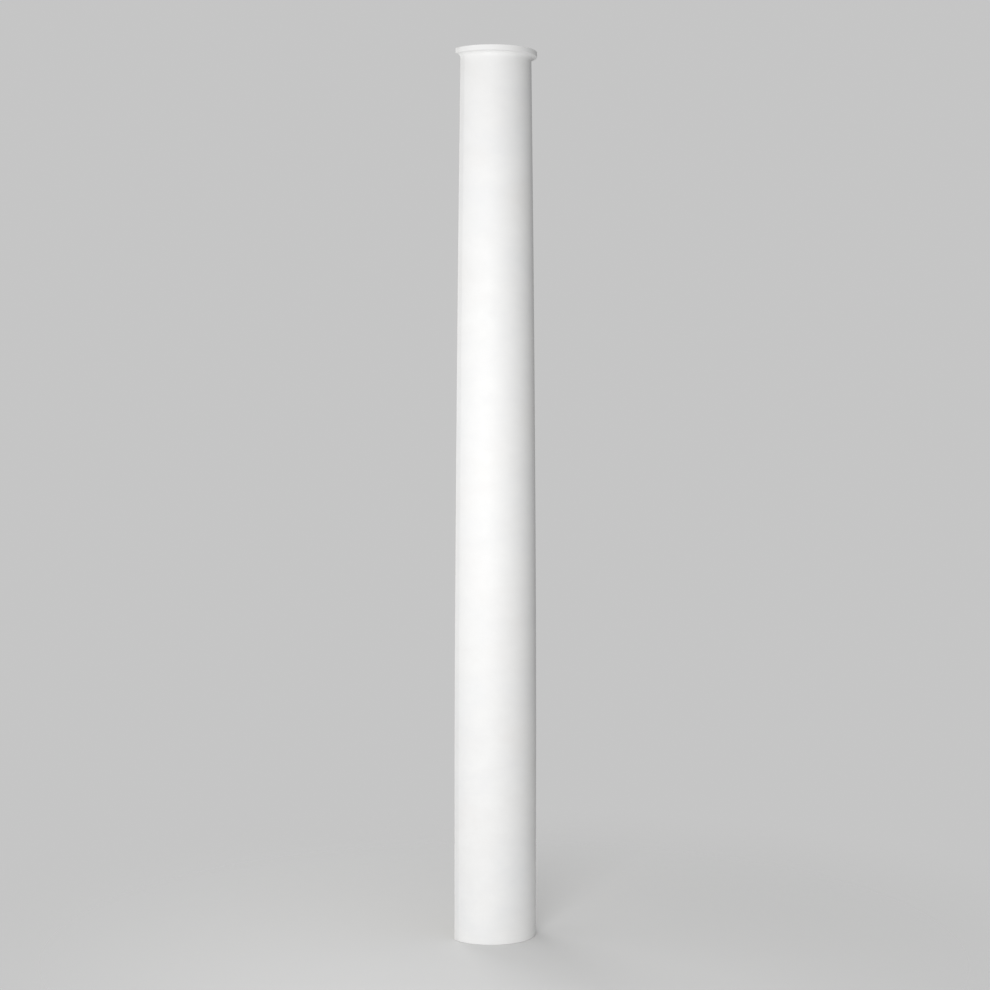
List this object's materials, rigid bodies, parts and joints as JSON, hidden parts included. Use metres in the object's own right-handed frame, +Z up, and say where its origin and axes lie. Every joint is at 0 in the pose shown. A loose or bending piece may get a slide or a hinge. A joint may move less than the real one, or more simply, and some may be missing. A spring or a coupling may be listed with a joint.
{
  "type": "engaged half column shaft",
  "caption": "Plain tapering half-round column shaft with a small moulded collar, hollow and open at the back, standing on the floor against a wall.",
  "frame": {"origin": "on the floor, in the middle of the overall width and depth", "axes": "+Z up the shaft, -Y the way the round front faces, +Y into the wall, +X to the right of someone facing it"},
  "size_m": [0.2208, 0.112, 2.2],
  "materials": {
    "primed_polyurethane": "matte white primer on moulded rigid foam"
  },
  "bodies": {
    "root": {"half_column_shaft": "primed_polyurethane"}
  },
  "joints": []
}
